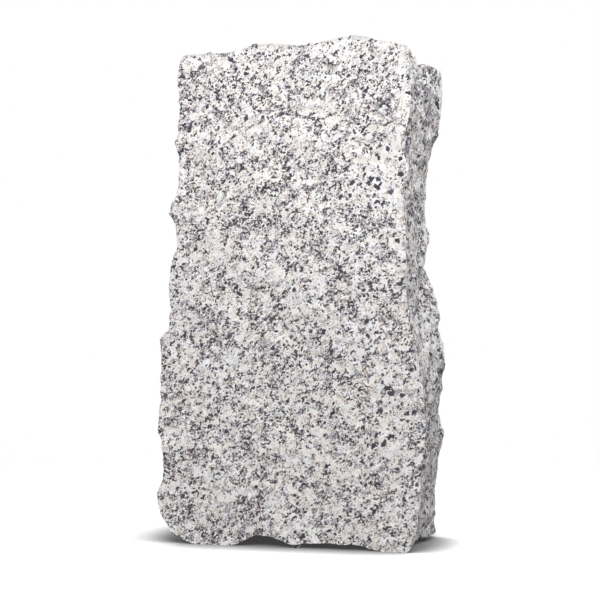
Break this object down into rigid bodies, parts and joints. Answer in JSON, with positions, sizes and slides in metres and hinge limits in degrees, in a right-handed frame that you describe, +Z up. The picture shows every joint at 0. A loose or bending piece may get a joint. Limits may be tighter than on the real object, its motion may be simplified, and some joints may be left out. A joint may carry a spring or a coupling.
{
  "type": "granite walling stone",
  "caption": "Hand-split granite walling stone: a slightly tapering rough block with riven faces and scalloped edges, standing on its end, for building or facing a wall.",
  "frame": {"origin": "on the ground, below the middle of the stone's box", "axes": "+Z up along the stone's length, -Y out of the face that shows in a wall, +X to that face's right"},
  "size_m": [0.228, 0.1049, 0.4146],
  "materials": {
    "granite": "rough split, unpolished"
  },
  "bodies": {
    "root": {"walling_stone": "granite"}
  },
  "joints": []
}
